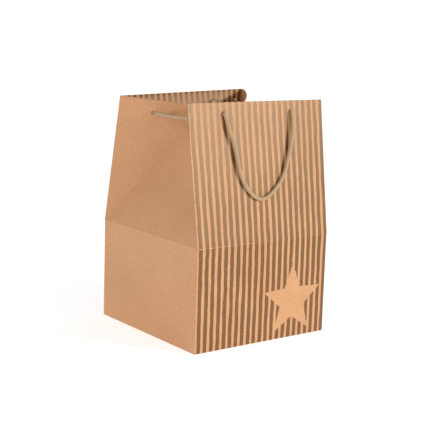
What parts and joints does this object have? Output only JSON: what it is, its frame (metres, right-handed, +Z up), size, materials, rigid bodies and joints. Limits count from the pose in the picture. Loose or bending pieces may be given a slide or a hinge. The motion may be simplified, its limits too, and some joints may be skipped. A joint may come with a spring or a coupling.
{
  "type": "gift bag",
  "caption": "Square-based kraft paper gift bag with striped front and back, drawn-in side gussets, hanging cord handles and cord ties across the gussets.",
  "frame": {"origin": "middle of the base, on the surface that the bag stands on", "axes": "+Z up; the front panel faces -Y; the gussets face -X and +X"},
  "size_m": [0.2, 0.205, 0.2924],
  "materials": {
    "kraft_paper": "matt uncoated kraft",
    "printed_paper": "matt kraft printed with uneven brown stripes",
    "grey_board": "rough unbleached board",
    "cord": "soft twisted cord"
  },
  "bodies": {
    "lower_box": {"front_lower_panel": "printed_paper", "back_lower_panel": "printed_paper", "left_lower_gusset": "kraft_paper", "right_lower_gusset": "kraft_paper", "lower_seam_flap": "kraft_paper", "front_bottom_flap": "kraft_paper", "back_bottom_flap": "kraft_paper", "left_bottom_tuck": "kraft_paper", "right_bottom_tuck": "kraft_paper"},
    "board": {"bottom_board": "grey_board"},
    "front_top": {"front_top_panel": "printed_paper", "front_card": "grey_board", "front_hem": "printed_paper", "front_left_knot": "cord", "front_right_knot": "cord"},
    "back_top": {"back_top_panel": "printed_paper", "back_card": "grey_board", "back_hem": "printed_paper", "back_left_knot": "cord", "back_right_knot": "cord", "upper_seam_flap": "kraft_paper"},
    "front_handle_loop": {"front_handle": "cord"},
    "back_handle_loop": {"back_handle": "cord"},
    "left_centre": {"left_gusset_centre": "kraft_paper", "left_gusset_centre_hem": "kraft_paper"},
    "left_front_half": {"left_gusset_front_half": "kraft_paper", "left_gusset_front_half_hem": "kraft_paper", "left_gusset_front_half_knots": "cord"},
    "left_back_half": {"left_gusset_back_half": "kraft_paper", "left_gusset_back_half_hem": "kraft_paper", "left_gusset_back_half_knots": "cord"},
    "left_ties": {"left_outer_tie": "cord", "left_inner_tie": "cord"},
    "right_centre": {"right_gusset_centre": "kraft_paper", "right_gusset_centre_hem": "kraft_paper"},
    "right_front_half": {"right_gusset_front_half": "kraft_paper", "right_gusset_front_half_hem": "kraft_paper", "right_gusset_front_half_knots": "cord"},
    "right_back_half": {"right_gusset_back_half": "kraft_paper", "right_gusset_back_half_hem": "kraft_paper", "right_gusset_back_half_knots": "cord"},
    "right_ties": {"right_outer_tie": "cord", "right_inner_tie": "cord"}
  },
  "joints": [
    {"name": "mouth_fold", "type": "hinge", "parent": "lower_box", "child": "front_top", "pos_m": [0, -0.1025, 0.125], "axis": [-1, 0, 0], "range_deg": [0, 8]},
    {"name": "back_fold", "type": "hinge", "parent": "lower_box", "child": "back_top", "pos_m": [0, 0.1025, 0.125], "axis": [1, 0, 0], "range_deg": [0, 8]},
    {"name": "left_centre_fold", "type": "hinge", "parent": "lower_box", "child": "left_centre", "pos_m": [-0.1, 0, 0.125], "axis": [0, 1, 0], "range_deg": [0, 6.61]},
    {"name": "right_centre_fold", "type": "hinge", "parent": "lower_box", "child": "right_centre", "pos_m": [0.1, 0, 0.125], "axis": [0, -1, 0], "range_deg": [0, 6.61]},
    {"name": "left_front_edge_fold", "type": "hinge", "parent": "front_top", "child": "left_front_half", "pos_m": [-0.1, -0.1025, 0.125], "axis": [0, -0.1736, -0.9848], "range_deg": [0, 15.52]},
    {"name": "right_front_edge_fold", "type": "hinge", "parent": "front_top", "child": "right_front_half", "pos_m": [0.1, -0.1025, 0.125], "axis": [0, 0.1736, 0.9848], "range_deg": [0, 15.52]},
    {"name": "left_back_edge_fold", "type": "hinge", "parent": "back_top", "child": "left_back_half", "pos_m": [-0.1, 0.1025, 0.125], "axis": [0, -0.1736, 0.9848], "range_deg": [0, 15.52]},
    {"name": "right_back_edge_fold", "type": "hinge", "parent": "back_top", "child": "right_back_half", "pos_m": [0.1, 0.1025, 0.125], "axis": [0, 0.1736, -0.9848], "range_deg": [0, 15.52]},
    {"name": "left_tie_shift", "type": "slide", "parent": "lower_box", "child": "left_ties", "axis": [0.7934, 0, -0.6088], "range_m": [0, 0.01141], "deforming": ["left_outer_tie", "left_inner_tie"]},
    {"name": "right_tie_shift", "type": "slide", "parent": "lower_box", "child": "right_ties", "axis": [-0.7934, 0, -0.6088], "range_m": [0, 0.01141], "deforming": ["right_outer_tie", "right_inner_tie"]},
    {"name": "front_handle_swing", "type": "hinge", "parent": "front_top", "child": "front_handle_loop", "pos_m": [0, -0.07837, 0.27915], "axis": [-1, 0, 0], "range_deg": [0, 160]},
    {"name": "back_handle_swing", "type": "hinge", "parent": "back_top", "child": "back_handle_loop", "pos_m": [0, 0.07837, 0.27915], "axis": [1, 0, 0], "range_deg": [0, 160]},
    {"name": "board_lift", "type": "slide", "parent": "lower_box", "child": "board", "axis": [0, 0, 1], "range_m": [0, 0.1]}
  ],
  "couplings": [
    {"joint": "back_fold", "follows": "mouth_fold", "ratio": 1},
    {"joint": "left_centre_fold", "follows": "mouth_fold", "ratio": 0.8202},
    {"joint": "left_front_edge_fold", "follows": "mouth_fold", "ratio": 1.9332},
    {"joint": "left_back_edge_fold", "follows": "mouth_fold", "ratio": 1.9332},
    {"joint": "left_tie_shift", "follows": "mouth_fold", "m_per_rad": 0.08103},
    {"joint": "right_centre_fold", "follows": "mouth_fold", "ratio": 0.8202},
    {"joint": "right_front_edge_fold", "follows": "mouth_fold", "ratio": 1.9332},
    {"joint": "right_back_edge_fold", "follows": "mouth_fold", "ratio": 1.9332},
    {"joint": "right_tie_shift", "follows": "mouth_fold", "m_per_rad": 0.08103}
  ]
}
